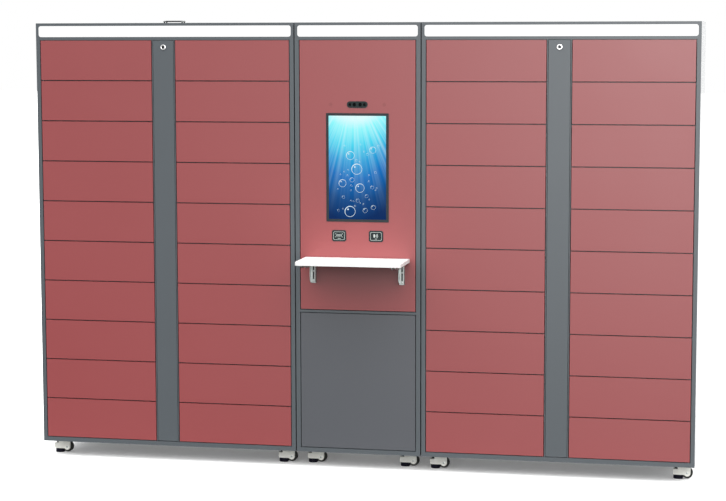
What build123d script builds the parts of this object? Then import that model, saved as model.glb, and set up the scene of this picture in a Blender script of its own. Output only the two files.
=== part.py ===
from build123d import *
import os
from math import hypot

# A smart charging cabinet in three steel cabinets that stand side by side: two
# banks of small charging compartments and, between them, a terminal cabinet.
# Millimetres. +X to the right as seen from the front, +Y to the back, +Z up.
# The origin is on the floor, at the middle of the footprint with the shelf out.
# Each cabinet is drawn in its own frame first: x = 0 at its middle, y = 0 on its
# front face, z = 0 at its underside.

# Casing
caster_height = 73.0  # floor to the underside of the cabinets
carcass_depth = 500.0
header_height = 79.0  # lit band above the doors
base_rail = 20.5  # plain band below the doors
side_jamb = 19.0  # upright of a side cabinet, seen from the front
centre_jamb = 20.0
centre_width = 588.0
seam = 5.0  # between two cabinets
spacer_size = 30.0  # joining spacers in the seams
spacer_inset = 60.0
sheet = 1.5  # folded steel
hem_gap = 1.0  # space inside the folded jambs of the wiring channel
jamb_overhang = 2.0  # how far a jamb's fold reaches behind a closed door
lip_drop = 15.0  # front fold of a shelf
header_floor = 60.0  # depth of the fold under the lit band
window_margin = 13.0  # lit window to the cabinet's sides
window_drop = 13.0  # lit window to the roof
window_height = 51.5
window_radius = 11.0

# Doors
rows = 10
door_pitch = 190.0
door_width = 544.5
door_gap = 3.5  # round a door
row_gap = 5.0  # between two doors of a column
header_gap = 2.0  # doors to the lit band
door_depth = 16.0
strip_width = 98.0  # cover of the wiring channel between two door columns
strip_gap = 2.0
lower_door_height = 633.5
mid_rail = 11.0  # between the terminal door and the door below it

# Hinge rods
rod_radius = 2.5
rod_clearance = 0.05
rod_setback = 7.0  # door face to rod axis
swing_clearance = 0.6  # door corner to jamb while it swings
stop_clearance = 1.2  # door corner to shelf lip while it swings
tongue_width = 12.0  # tongue between a shelf and the rod
rod_end_play = 0.3

# Locks and strikers
lock_depth = 58.0
lock_height = 73.0
lock_air = 4.0  # closed door to lock
striker_height = 20.0
striker_reach = 14.0  # how far the blade goes into the lock
blade = 3.0
mouth_clearance = 1.2

# Power outlets in the compartments
outlet_width = 86.0
outlet_height = 60.0
outlet_depth = 10.0
outlet_inset = 90.0  # middle of an outlet to the channel wall

# Control boxes inside the centre cabinet
supply_size = (260.0, 170.0, 90.0)
controller_size = (220.0, 45.0, 160.0)
controller_height = 420.0

# Terminal: screen, camera bar, readers
screen_width = 293.0
screen_height = 500.0
screen_rise = 661.0  # bottom of the terminal door to the middle of the screen
screen_border = 12.0
screen_recess = 0.6
bezel_overlap = 5.0  # bezel beyond its cut-out
bezel_proud = 2.0
screen_body = 46.0
camera_width = 97.5
camera_height = 30.0
camera_gap = 24.5  # screen to the bar above it
reader_width = 67.0
reader_height = 52.0
reader_corner = 6.0
reader_gap = 39.5  # screen to the readers below it
reader_offset = 87.0
reader_body = 24.0
cutout_clearance = 0.5

# Fold-down shelf
shelf_width = 490.0
shelf_reach = 225.0  # door face to the shelf's front edge
shelf_rise = 244.5  # bottom of the terminal door to the top of the board
board_thickness = 16.0
board_radius = 12.0
board_air = 4.0  # board to door face
bracket_spacing = 418.0
leg_width = 27.0
leg_length = 105.0
leg_steel = 2.0
arm_steel = 2.0
arm_side_clearance = 0.8
arm_depth = 15.5
arm_short = 18.0  # how far the arms stop behind the board's front edge
pivot_radius = 3.0
pivot_clearance = 0.05
pivot_setback = 13.0
pivot_drop = 10.0  # board's underside to the pivot
knuckle_radius = 9.5
arm_heel = 8.0  # arm behind the pivot
slot_width = 6.5
slot_length = 34.0
slot_drop = 28.0  # board's underside to the upper slot's middle
slot_pitch = 42.0

# Key locks of the channel covers
key_drop = 34.0  # top line of the doors to the lock
key_flange = 13.0
key_flange_depth = 2.5
barrel_width = 17.0
barrel_length = 23.0
barrel_clearance = 0.3
plug_radius = 6.5
plug_clearance = 0.05
keyway_width = 2.2
keyway_height = 8.0
keyway_depth = 6.0
cam_length = 30.0
cam_width = 14.0
cam_thickness = 2.5
cam_gap = 1.5  # barrel to cam
keeper_gap = 3.0  # keeper to the cam turned up behind it
keeper_drop = 18.0
keeper_width = 40.0
foot_tab_width = 40.0  # tab under a channel cover, in a slot of the base rail
foot_tab_reach = 4.0
foot_tab_play = 3.0
shoulder_width = 70.0  # the tab's shoulders stand on the rail
standing_gap = 0.3
light_overlap = 6.0  # diffuser behind the edge of its window

# Levelling casters
caster_inset_side = 63.5  # swivel axis to the side of a side cabinet
caster_inset_centre = 71.5
caster_setback_side = 107.0  # swivel axis to the front and the back
caster_setback_centre = 120.0
caster_shift = 6.0  # casters of the right cabinet, to the right
plate_size = 72.0
plate_thickness = 3.0
housing_half_width = 22.0
housing_left = 42.0
housing_bottom = 19.5
lobe_radius = 15.0  # round the axle
lobe_sides = 12
wheel_radius = 25.0
wheel_sides = 20
wheel_offset = 21.5
wheel_lift = 2.5
wheel_slot = 25.0
wheel_side_play = 0.3
foot_offset = 18.0
foot_radius = 24.0
foot_sides = 12
thumb_radius = 18.0
thumb_sides = 8
thumb_height = 12.0
thumb_bottom = 46.0
thumb_play = 0.3
thumb_window = 20.0  # how much of the thumbwheel's pocket the housing leaves open

# Roof cap over the cable entry
cap_setback = 182.0
cap_air = 5.0  # roof to the cap's plate
plate_width, plate_depth, plate_steel = 98.0, 46.0, 2.0
hood_width, hood_depth, hood_top = 76.0, 36.0, 11.5
post_spacing, post_spacing_back = 87.0, 35.0
post_radius, post_height = 3.5, 11.0
post_sides = 6
entry_width, entry_depth = 50.0, 24.0

# Worked out from the sizes above
channel_jamb = 2 * sheet + hem_gap
swing_gap = door_gap - swing_clearance
rod_inset = (rod_setback**2 - swing_gap**2) / (2 * swing_gap)
stop_line = rod_setback + hypot(rod_inset, door_depth - rod_setback) + stop_clearance
fold_depth = door_depth + jamb_overhang
door_zone = rows * door_pitch
door_height = door_pitch - row_gap
strip_height = door_zone - row_gap
header_z = base_rail + door_gap + strip_height + header_gap
carcass_height = header_z + header_height
window_middle = carcass_height - window_drop - window_height / 2
channel_half = strip_width / 2 + strip_gap + channel_jamb
column_right = channel_half + door_gap  # free edge of a column's doors
column_left = column_right + door_width  # their hinge edge
side_half = column_left + door_gap + side_jamb
centre_half = centre_width / 2
side_x = centre_half + seam + side_half
front_y = (shelf_reach - carcass_depth) / 2
centre_door_width = centre_width - 2 * (centre_jamb + door_gap)
mid_rail_z = base_rail + 2 * door_gap + lower_door_height
terminal_z = mid_rail_z + mid_rail + door_gap
terminal_height = header_z - header_gap - terminal_z
shelf_top = terminal_z + shelf_rise
screen_middle = terminal_z + screen_rise
camera_middle = screen_middle + screen_height / 2 + camera_gap + camera_height / 2
reader_middle = screen_middle - screen_height / 2 - reader_gap - reader_height / 2
lock_front = door_depth + lock_air
lock_width = 2 * (door_gap + sheet) + blade
axle_z = wheel_radius + wheel_lift
slot_left = wheel_offset - wheel_radius - wheel_lift


def line_z(row):
    """Middle of the gap under the given row of doors, counted from 0."""
    return base_rail + door_gap - row_gap / 2 + row * door_pitch


def shelf_z(row):
    """Middle of the sheet under the given row, kept off the base rail and the lit band."""
    return min(max(line_z(row), base_rail + sheet / 2), header_z - sheet / 2)


def block(x, y, z):
    """A block between two values of x, of y and of z."""
    size = [high - low for low, high in (x, y, z)]
    middle = [(low + high) / 2 for low, high in (x, y, z)]
    return Pos(*middle) * Box(*size)


def folded(points, side=Side.LEFT):
    """Section of a folded sheet, thickened to one side of its outer line."""
    line = Polyline(*points)
    return make_face(offset(line, sheet, kind=Kind.INTERSECTION, side=side, closed=True))


def along_x(section, start, end):
    return extrude(Plane.YZ.offset(start) * section, amount=end - start)


def along_y(section, start, end):
    return extrude(Plane.XZ.offset(-start) * section, amount=end - start, dir=(0, 1, 0))


def along_z(section, start, end):
    return extrude(Plane.XY.offset(start) * section, amount=end - start)


def both_sides(piece):
    return [piece, mirror(piece, about=Plane.YZ)]


def rod_hole(x, z_low, z_high):
    """Square punching in which a hinge rod bears on four flats."""
    half = rod_radius + rod_clearance
    return block((x - half, x + half), (rod_setback - half, rod_setback + half), (z_low, z_high))


def pan(width, height):
    """Leaf of folded sheet, open behind."""
    hollow = block((sheet, width - sheet), (sheet, door_depth), (sheet, height - sheet))
    return block((0, width), (0, door_depth), (0, height)) - hollow


def striker(width, middle):
    """Blade inside the free edge of a leaf, which the lock catches."""
    half = striker_height / 2
    end = width - sheet
    return block(
        (end - blade, end), (sheet, lock_front + striker_reach), (middle - half, middle + half)
    )


def hung_leaf(width, height):
    """Leaf with its hinge edge on x = 0, punched for the rod."""
    return pan(width, height) - rod_hole(rod_inset, 0, height)


def small_door():
    return [hung_leaf(door_width, door_height), striker(door_width, door_height / 2)]


def side_panel(half, jamb):
    """Left wall and jamb from one sheet, cut back above for the lit band."""
    plan = folded(
        [(-half, carcass_depth), (-half, 0), (-half + jamb, 0), (-half + jamb, fold_depth)]
    )
    upper = block(
        (-half, -half + sheet), (sheet, carcass_depth), (header_z, carcass_height - sheet)
    )
    return along_z(plan, sheet, header_z) + upper


def base_tray(half, jamb):
    """Floor sheet with the plain rail under the doors."""
    floor = block((-half, half), (0, carcass_depth), (0, sheet))
    rail = folded([(fold_depth, base_rail), (0, base_rail), (0, sheet)])
    return floor + along_x(rail, -half + jamb, half - jamb)


def slotted_tray(half, jamb):
    """Tray whose rail has the slot for the tab of the channel cover."""
    reach_x = foot_tab_width / 2 + strip_gap
    reach_y = sheet / 2 + foot_tab_play
    slot = block(
        (-reach_x, reach_x),
        (rod_setback - reach_y, rod_setback + reach_y),
        (base_rail - sheet, base_rail),
    )
    return base_tray(half, jamb) - slot


def roof(half):
    return block((-half, half), (0, carcass_depth), (carcass_height - sheet, carcass_height))


def back_panel(half):
    inner = half - sheet
    return block(
        (-inner, inner),
        (carcass_depth - sheet, carcass_depth),
        (sheet, carcass_height - sheet),
    )


def header_panel(half):
    """Face of the lit band with its rounded window, and the fold under it."""
    top = carcass_height - sheet
    face = Pos(0, (header_z + top) / 2) * Rectangle(2 * half, top - header_z)
    window = Pos(0, window_middle) * RectangleRounded(
        2 * (half - window_margin), window_height, window_radius
    )
    inner = half - sheet
    floor = block((-inner, inner), (0, header_floor), (header_z, header_z + sheet))
    return along_y(face - window, 0, sheet) + floor


def shelf(x_low, x_high, z):
    """Compartment floor with its front edge folded down."""
    top = sheet / 2
    section = folded(
        [(stop_line, -lip_drop), (stop_line, top), (carcass_depth - sheet, top)], Side.RIGHT
    )
    return along_x(Pos(0, z) * section, x_low, x_high)


def rod_tongue(x, z):
    """Tongue welded to a shelf's front, that stays the hinge rod between two doors."""
    half = tongue_width / 2
    return block(
        (x - half, x + half), (rod_setback + rod_radius, stop_line), (z - sheet / 2, z + sheet / 2)
    )


def hinge_rod(x):
    """Rod that stands on the base rail and carries every leaf of its column."""
    top = header_z - rod_end_play
    return Pos(x, rod_setback, (base_rail + top) / 2) * Cylinder(rod_radius, top - base_rail)


def channel_wall():
    """Left wall of the wiring channel, hemmed round its front edge."""
    x = -channel_half
    back = carcass_depth - sheet
    plan = folded([(x, back), (x, 0), (x + channel_jamb, 0), (x + channel_jamb, fold_depth)])
    foot = block((x, x + sheet), (fold_depth, back), (sheet, base_rail))
    head = block((x, x + sheet), (header_floor, back), (header_z, carcass_height - sheet))
    return along_z(plan, base_rail, header_z) + foot + head


def cam_keeper():
    """Plate under the lit band that the cover's cam turns behind."""
    back = barrel_length + cam_gap - keeper_gap
    return block(
        (-keeper_width / 2, keeper_width / 2),
        (back - sheet, back),
        (header_z - keeper_drop, header_z),
    )


def side_carcass():
    """Everything of a side cabinet's carcass but its roof."""
    rod_x = -column_left + rod_inset
    half = [side_panel(side_half, side_jamb), channel_wall(), hinge_rod(rod_x)]
    for row in range(rows + 1):
        half.append(shelf(-side_half + sheet, -channel_half, shelf_z(row)))
        half.append(rod_tongue(rod_x, shelf_z(row)))
    pieces = [piece for one in half for piece in both_sides(one)]
    pieces += [slotted_tray(side_half, side_jamb), back_panel(side_half)]
    return pieces + [header_panel(side_half), cam_keeper()]


def cable_entry():
    """What the mains cable's entry takes out of the left cabinet's roof."""
    half_x, half_y = entry_width / 2, entry_depth / 2
    return block(
        (-half_x, half_x),
        (cap_setback - half_y, cap_setback + half_y),
        (carcass_height - sheet, carcass_height),
    )


def centre_rail():
    """Rail between the two doors of the centre cabinet, punched for the rod."""
    top = mid_rail_z + mid_rail
    section = folded(
        [(fold_depth, top), (0, top), (0, mid_rail_z), (fold_depth, mid_rail_z)]
    )
    half = centre_half - centre_jamb
    rail = along_x(section, -half, half)
    return rail - rod_hole(-half + door_gap + rod_inset, mid_rail_z, top)


def seam_spacers():
    """Spacers on both sides, where the cabinets are bolted to each other."""
    outer = centre_half + seam
    pieces = []
    for y in (spacer_inset, carcass_depth - spacer_inset - spacer_size):
        for z in (spacer_inset, carcass_height - spacer_inset - spacer_size):
            pieces += both_sides(
                block((-outer, -centre_half), (y, y + spacer_size), (z, z + spacer_size))
            )
    return pieces


def centre_carcass():
    rod_x = -centre_half + centre_jamb + door_gap + rod_inset
    inner = centre_half - sheet
    pieces = both_sides(side_panel(centre_half, centre_jamb)) + seam_spacers()
    pieces += [base_tray(centre_half, centre_jamb), roof(centre_half), back_panel(centre_half)]
    pieces += [header_panel(centre_half), centre_rail(), hinge_rod(rod_x)]
    for z in (shelf_z(0), shelf_z(rows)):
        pieces += [shelf(-inner, inner, z), rod_tongue(rod_x, z)]
    return pieces + [shelf(-inner, inner, mid_rail_z + mid_rail / 2)]


def lock_unit(x, z):
    """Electric lock with the mouth for a striker, its middle on x."""
    half = lock_width / 2
    body = block(
        (x - half, x + half),
        (lock_front, lock_front + lock_depth),
        (z - lock_height / 2, z + lock_height / 2),
    )
    mouth_x = blade / 2 + mouth_clearance
    mouth_z = striker_height / 2 + mouth_clearance
    mouth = block(
        (x - mouth_x, x + mouth_x),
        (lock_front, lock_front + striker_reach + mouth_clearance),
        (z - mouth_z, z + mouth_z),
    )
    return body - mouth


def side_locks():
    x = -channel_half - lock_width / 2
    locks = [lock_unit(x, line_z(row) + door_pitch / 2) for row in range(rows)]
    return [piece for one in locks for piece in both_sides(one)]


def centre_locks():
    """Locks of the two large doors, each on a stand that reaches the wall."""
    free_edge = centre_half - centre_jamb - door_gap
    x = free_edge - sheet - blade / 2
    pieces = []
    for z in (base_rail + door_gap + lower_door_height / 2, terminal_z + terminal_height / 2):
        pieces.append(lock_unit(x, z))
        pieces.append(
            block(
                (x + lock_width / 2, centre_half - sheet),
                (lock_front, lock_front + lock_depth),
                (z - lock_height / 2, z - lock_height / 2 + sheet),
            )
        )
    return pieces


def controller():
    """Lock controller on the back panel of the centre cabinet."""
    width, depth, height = controller_size
    back = carcass_depth - sheet
    return block(
        (-width / 2, width / 2),
        (back - depth, back),
        (controller_height, controller_height + height),
    )


def outlet(x, z):
    """Flush power outlet on the back panel of a compartment."""
    half_x, half_z = outlet_width / 2, outlet_height / 2
    back = carcass_depth - sheet
    return block((x - half_x, x + half_x), (back - outlet_depth, back), (z - half_z, z + half_z))


def side_outlets():
    x = -channel_half - outlet_inset
    outlets = [outlet(x, line_z(row) + door_pitch / 2) for row in range(rows)]
    return [piece for one in outlets for piece in both_sides(one)]


def power_supply():
    """Supply of all the outlets, on the floor of the centre cabinet."""
    width, depth, height = supply_size
    floor = shelf_z(0) + sheet / 2
    back = carcass_depth - sheet - sheet
    return block((-width / 2, width / 2), (back - depth, back), (floor, floor + height))


def header_light(half):
    """Diffuser behind the window."""
    width = half - window_margin + light_overlap
    height = window_height / 2 + light_overlap
    return block(
        (-width, width), (sheet, 2 * sheet), (window_middle - height, window_middle + height)
    )


def channel_cover():
    """Pan over the wiring channel: a tab holds it below, a key lock above."""
    bottom = base_rail + door_gap
    leaf = Pos(-strip_width / 2, 0, bottom) * pan(strip_width, strip_height)
    tab_y = (rod_setback - sheet / 2, rod_setback + sheet / 2)
    tab = block(
        (-foot_tab_width / 2, foot_tab_width / 2), tab_y, (base_rail - foot_tab_reach, bottom)
    )
    tab += block(
        (-shoulder_width / 2, shoulder_width / 2), tab_y, (base_rail + standing_gap, bottom)
    )
    width = barrel_width + 2 * barrel_clearance
    hole = along_y(Pos(0, key_z()) * Rectangle(width, width), 0, sheet)
    return leaf + tab - hole


def key_z():
    return line_z(rows) - key_drop


def lock_barrel():
    """Fixed housing of a key lock with its round front flange."""
    flange = along_y(Circle(key_flange), -key_flange_depth, 0)
    barrel = along_y(Rectangle(barrel_width, barrel_width), 0, barrel_length)
    bore = along_y(Circle(plug_radius + plug_clearance), -key_flange_depth, barrel_length)
    return Pos(0, 0, key_z()) * (flange + barrel - bore)


def key_plug():
    """Turning plug with its keyway and the cam on its tail, at the open turn."""
    tail = barrel_length + cam_gap
    plug = along_y(Circle(plug_radius), -key_flange_depth, tail)
    keyway = block(
        (-keyway_width / 2, keyway_width / 2),
        (-key_flange_depth, keyway_depth),
        (-keyway_height / 2, keyway_height / 2),
    )
    half = cam_width / 2
    cam = block((-half, cam_length), (tail, tail + cam_thickness), (-half, half))
    return Pos(0, 0, key_z()) * (plug - keyway + cam)


def terminal_leaf():
    """Terminal door with the cut-outs for what is fitted through it."""
    leaf = hung_leaf(centre_door_width, terminal_height)
    middle = centre_door_width / 2
    inset = 2 * bezel_overlap - 2 * cutout_clearance
    screen = Pos(middle, screen_middle - terminal_z) * Rectangle(
        screen_width - inset, screen_height - inset
    )
    camera = Pos(middle, camera_middle - terminal_z) * Rectangle(
        camera_width - camera_height, camera_height - inset
    )
    openings = screen + camera
    for side in (-1, 1):
        openings += Pos(middle + side * reader_offset, reader_middle - terminal_z) * Rectangle(
            reader_width - inset, reader_height - inset
        )
    return [
        leaf - along_y(openings, 0, sheet),
        striker(centre_door_width, terminal_height / 2),
    ]


def lower_leaf():
    return [
        hung_leaf(centre_door_width, lower_door_height),
        striker(centre_door_width, lower_door_height / 2),
    ]


def touch_screen():
    """Display with its bezel in front of the door and its body behind."""
    inset = 2 * bezel_overlap
    bezel = along_y(Rectangle(screen_width, screen_height), -bezel_proud, 0)
    body = along_y(Rectangle(screen_width - inset, screen_height - inset), 0, screen_body)
    border = 2 * screen_border
    glass = along_y(
        Rectangle(screen_width - border, screen_height - border),
        -bezel_proud,
        -bezel_proud + screen_recess,
    )
    return Pos(0, 0, screen_middle) * (bezel + body - glass)


def camera_bar():
    """Stadium face with its body behind the door."""
    gap = 2 * cutout_clearance
    face = along_y(SlotOverall(camera_width, camera_height), -bezel_proud, 0)
    body = along_y(
        Rectangle(camera_width - camera_height - gap, camera_height - 2 * bezel_overlap),
        0,
        reader_body,
    )
    return Pos(0, 0, camera_middle) * (face + body)


def reader(x):
    """Reader plate with its body behind the door."""
    inset = 2 * bezel_overlap
    outline = Rectangle(reader_width, reader_height)
    face = along_y(chamfer(outline.vertices(), reader_corner), -bezel_proud, 0)
    body = along_y(Rectangle(reader_width - inset, reader_height - inset), 0, reader_body)
    return Pos(x, 0, reader_middle) * (face + body)


def bracket_leg(x):
    """Fixed leg of a folding bracket: a channel, rounded about its pivot pin."""
    pivot_z = shelf_top - board_thickness - pivot_drop
    bottom = shelf_top - board_thickness - leg_length
    front = -pivot_setback - knuckle_radius
    side = make_face(
        Polyline(
            (0, bottom), (0, pivot_z + knuckle_radius), (-pivot_setback, pivot_z + knuckle_radius)
        )
        + CenterArc((-pivot_setback, pivot_z), knuckle_radius, 90, 90)
        + Polyline((front, pivot_z), (front, bottom + leg_width / 2), (-leg_steel, bottom), (0, bottom))
    )
    half = leg_width / 2
    channel = along_x(side, -half, half)
    channel -= block(
        (leg_steel - half, half - leg_steel),
        (front, -leg_steel),
        (bottom, pivot_z + knuckle_radius),
    )
    upper = Pos(0, shelf_top - board_thickness - slot_drop) * Rectangle(slot_width, slot_length)
    slots = upper + Pos(0, -slot_pitch) * upper
    reach = half - leg_steel
    pin = along_x(Pos(-pivot_setback, pivot_z) * Circle(pivot_radius), -reach, reach)
    return Pos(x, 0, 0) * (channel - along_y(slots, -leg_steel, 0) + pin)


def bracket_arm(x):
    """Folding arm: a channel open below, on the pivot pin at its heel."""
    top = shelf_top - board_thickness
    pivot_z = top - pivot_drop
    heel = -pivot_setback + arm_heel
    tip = -shelf_reach + arm_short
    half = leg_width / 2 - leg_steel - arm_side_clearance
    side = make_face(
        Polyline(
            (heel, top),
            (tip, top),
            (tip, top - arm_depth / 2),
            (tip + arm_depth, top - arm_depth),
            (heel, top - arm_depth),
            close=True,
        )
    )
    arm = along_x(side, -half, half)
    arm -= block(
        (arm_steel - half, half - arm_steel), (tip, heel), (top - arm_depth, top - arm_steel)
    )
    width = 2 * (pivot_radius + pivot_clearance)
    hole = Pos(-pivot_setback, pivot_z) * Rectangle(width, width)
    return Pos(x, 0, 0) * (arm - along_x(hole, -half, half))


def shelf_board():
    """Board with rounded front corners, flat on the arms."""
    depth = shelf_reach - board_air
    middle = -board_air - depth / 2
    board = Pos(0, middle, shelf_top - board_thickness / 2) * Box(
        shelf_width, depth, board_thickness
    )
    front = board.edges().filter_by(Axis.Z).group_by(Axis.Y)[0]
    return fillet(front, board_radius)


def caster_housing():
    """Mounting plate, and the moulded housing with its fork and its foot tower."""
    half = plate_size / 2
    top = caster_height - plate_thickness
    plate = block((-half, half), (-half, half), (top, caster_height))
    lobe = Pos(wheel_offset, axle_z) * RegularPolygon(
        lobe_radius, lobe_sides, major_radius=False, rotation=180 / lobe_sides
    )
    width = housing_left + wheel_offset + lobe_radius
    tower = Pos(width / 2 - housing_left, (housing_bottom + top) / 2) * Rectangle(
        width, top - housing_bottom
    )
    body = along_y(lobe + tower, -housing_half_width, housing_half_width)
    slot = block(
        (slot_left, wheel_offset + 2 * wheel_radius),
        (-wheel_slot / 2, wheel_slot / 2),
        (0, axle_z + wheel_radius + wheel_lift),
    )
    low, high = thumb_bottom - thumb_play, thumb_bottom + thumb_height + thumb_play
    pocket = along_z(
        Pos(-foot_offset, 0) * RegularPolygon(thumb_radius + 2 * thumb_play, thumb_sides), low, high
    )
    pocket += block(
        (-housing_left, -housing_left + thumb_window),
        (-housing_half_width, housing_half_width),
        (low, high),
    )
    return [plate, body - slot - pocket]


def caster_running_gear():
    """Wheel, levelling foot notched for it, and the thumbwheel that lowers the foot."""
    half = wheel_slot / 2 - wheel_side_play
    wheel = along_y(
        Pos(wheel_offset, axle_z) * RegularPolygon(wheel_radius, wheel_sides),
        -half,
        half,
    )
    foot = along_z(
        Pos(-foot_offset, 0) * RegularPolygon(foot_radius, foot_sides), 0, housing_bottom
    )
    foot -= block(
        (slot_left, wheel_offset), (-wheel_slot / 2, wheel_slot / 2), (0, housing_bottom)
    )
    thumb = along_z(
        Pos(-foot_offset, 0) * RegularPolygon(thumb_radius, thumb_sides),
        thumb_bottom,
        thumb_bottom + thumb_height,
    )
    return [wheel, foot, thumb]


def caster_places():
    """Swivel axes of the twelve casters, on the floor."""
    reach = side_half - caster_inset_side
    cabinets = (
        (-side_x, reach, caster_setback_side),
        (0, centre_half - caster_inset_centre, caster_setback_centre),
        (side_x + caster_shift, reach, caster_setback_side),
    )
    return [
        Pos(x, front_y + y, 0)
        for middle, half, setback in cabinets
        for x in (middle - half, middle + half)
        for y in (setback, carcass_depth - setback)
    ]


def roof_cap():
    """Low hood over the cable entry, on a plate that stands off the roof on four posts."""
    plate_top = cap_air + plate_steel
    cap = along_z(Rectangle(plate_width, plate_depth), cap_air, plate_top)
    cap += along_z(Rectangle(hood_width, hood_depth), plate_top, hood_top)
    post = along_z(RegularPolygon(post_radius, post_sides), 0, post_height)
    for x in (-post_spacing / 2, post_spacing / 2):
        for y in (-post_spacing_back / 2, post_spacing_back / 2):
            cap += Pos(x, y, 0) * post
    return Pos(0, cap_setback, carcass_height) * cap


def put(place, pieces):
    return [place * piece for piece in pieces]


def write(name, pieces):
    solids = [solid for piece in pieces for solid in piece.solids()]
    export_step(Compound(children=solids), f"parts/{name}.step")


def cabinet_at(x):
    return Pos(x, front_y, caster_height)


left_cabinet, centre_cabinet, right_cabinet = (cabinet_at(x) for x in (-side_x, 0, side_x))


def write_small_doors():
    """Doors a01 to d10, counted down from the top, hinged away from the channels."""
    leaf = small_door()
    mirrored = [mirror(piece, about=Plane.YZ) for piece in leaf]
    columns = (
        ("a", left_cabinet, -column_left, leaf),
        ("b", left_cabinet, column_left, mirrored),
        ("c", right_cabinet, -column_left, leaf),
        ("d", right_cabinet, column_left, mirrored),
    )
    for letter, cabinet, hinge_edge, pieces in columns:
        for row in range(rows):
            place = cabinet * Pos(hinge_edge, 0, line_z(row) + row_gap / 2)
            write(f"door_{letter}{rows - row:02d}", put(place, pieces))


def write_side_cabinets():
    carcass = side_carcass()
    cover = [channel_cover(), lock_barrel()]
    plug = [key_plug()]
    top = roof(side_half)
    roofs = (("left", left_cabinet, top - cable_entry()), ("right", right_cabinet, top))
    for side, cabinet, cover_sheet in roofs:
        write(f"{side}_carcass", put(cabinet, carcass + [cover_sheet]))
        write(f"{side}_strip", put(cabinet, cover))
        write(f"{side}_strip_lock", put(cabinet, plug))


def write_shared_nodes():
    """Nodes whose pieces lie in more than one cabinet."""
    locks, outlets = side_locks(), side_outlets()
    lock_pieces = put(left_cabinet, locks) + put(right_cabinet, locks)
    lock_pieces += put(centre_cabinet, centre_locks() + [controller()])
    write("door_locks", lock_pieces)
    outlet_pieces = put(left_cabinet, outlets) + put(right_cabinet, outlets)
    write("power_outlets", outlet_pieces + put(centre_cabinet, [power_supply()]))
    wide, narrow = header_light(side_half), header_light(centre_half)
    write("header_lights", [left_cabinet * wide, centre_cabinet * narrow, right_cabinet * wide])
    places = caster_places()
    housing, gear = caster_housing(), caster_running_gear()
    write("caster_housings", [piece for place in places for piece in put(place, housing)])
    write("caster_wheels_and_feet", [piece for place in places for piece in put(place, gear)])
    write("roof_cap", [left_cabinet * roof_cap()])


def write_centre_cabinet():
    hinge_edge = -centre_door_width / 2
    write("centre_carcass", put(centre_cabinet, centre_carcass()))
    write("terminal_door", put(centre_cabinet * Pos(hinge_edge, 0, terminal_z), terminal_leaf()))
    write(
        "lower_door", put(centre_cabinet * Pos(hinge_edge, 0, base_rail + door_gap), lower_leaf())
    )
    write("touch_screen", [centre_cabinet * touch_screen()])
    readers = [camera_bar(), reader(-reader_offset), reader(reader_offset)]
    write("reader_modules", put(centre_cabinet, readers))
    sides = (-bracket_spacing / 2, bracket_spacing / 2)
    write("shelf_brackets", put(centre_cabinet, [bracket_leg(x) for x in sides]))
    write("shelf_arms", put(centre_cabinet, [bracket_arm(x) for x in sides]))
    write("shelf_board", [centre_cabinet * shelf_board()])


os.makedirs("parts", exist_ok=True)
write_small_doors()
write_side_cabinets()
write_centre_cabinet()
write_shared_nodes()
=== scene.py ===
"""The looks of a charging cabinet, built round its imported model. Metres, +Z up."""
import math
import random

import bmesh
import bpy
from mathutils import Matrix, Vector


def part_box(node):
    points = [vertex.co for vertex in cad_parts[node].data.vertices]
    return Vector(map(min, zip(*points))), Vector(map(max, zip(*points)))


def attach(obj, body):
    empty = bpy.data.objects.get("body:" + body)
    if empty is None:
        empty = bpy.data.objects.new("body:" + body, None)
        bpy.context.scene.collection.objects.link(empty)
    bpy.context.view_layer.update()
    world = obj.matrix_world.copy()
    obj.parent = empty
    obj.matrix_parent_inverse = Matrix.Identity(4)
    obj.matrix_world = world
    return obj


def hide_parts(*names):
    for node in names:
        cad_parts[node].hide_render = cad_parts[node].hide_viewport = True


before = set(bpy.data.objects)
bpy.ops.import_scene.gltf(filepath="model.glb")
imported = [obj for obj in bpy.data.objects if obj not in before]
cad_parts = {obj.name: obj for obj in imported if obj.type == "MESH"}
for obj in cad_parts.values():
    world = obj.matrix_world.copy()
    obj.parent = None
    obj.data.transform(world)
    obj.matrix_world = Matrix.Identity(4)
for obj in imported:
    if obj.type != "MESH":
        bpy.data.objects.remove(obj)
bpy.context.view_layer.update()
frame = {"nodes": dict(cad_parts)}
nodes = frame["nodes"]
mm = 0.001

# Camera
camera_place = (1.8807, -8.9729, 2.0120)
camera_yaw = math.radians(-11.859)
camera_pitch = math.radians(-6.224)
camera_roll = math.radians(-0.116)
camera_lens = 97.65
sensor_width = 36.0
clip_end = 200.0

# Colours as they are seen, red, green, blue of 255
door_red = (157, 69, 71)
frame_grey = (86, 93, 98)
lower_grey = (86, 89, 95)
zinc = (176, 181, 179)
board_white = (252, 252, 250)
caster_cream = (246, 246, 238)
foot_black = (12, 12, 30)
tyre_black = (42, 44, 40)
# black plastic of the door locks and thumbwheels; also used for painted shade in the leg slots, socket wells
# and ports
black_plastic_and_shade = (26, 27, 29)
bezel_grey = (46, 52, 56)
outlet_white = (232, 232, 228)
glass_black = (46, 54, 54)
lens_black = (10, 12, 14)
# painted shade: the dark reddish discs drawn where the sound holes are
hole_dark = (70, 34, 36)
chrome_pale = (236, 236, 236)
# the lock plug: its dark grey is partly the metal's tone and partly painted shade of the keyway
plug_grey_and_keyway_shade = (58, 60, 62)
cap_grey = (58, 58, 58)
bubble_white = (226, 246, 255)
diffuser_white = (255, 255, 255)
mark_grey = (188, 198, 194)
floor_white = (246, 246, 246)

joint_angle = math.radians(35)  # edges sharper than this stay sharp
noise_span = (0.3, 0.7)  # where most values of a noise lie


def linear(colour):
    """Linear colour with alpha of a colour as it is seen."""
    shares = [value / 255 for value in colour]
    return (*[s / 12.92 if s <= 0.04045 else ((s + 0.055) / 1.055) ** 2.4 for s in shares], 1.0)


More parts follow.
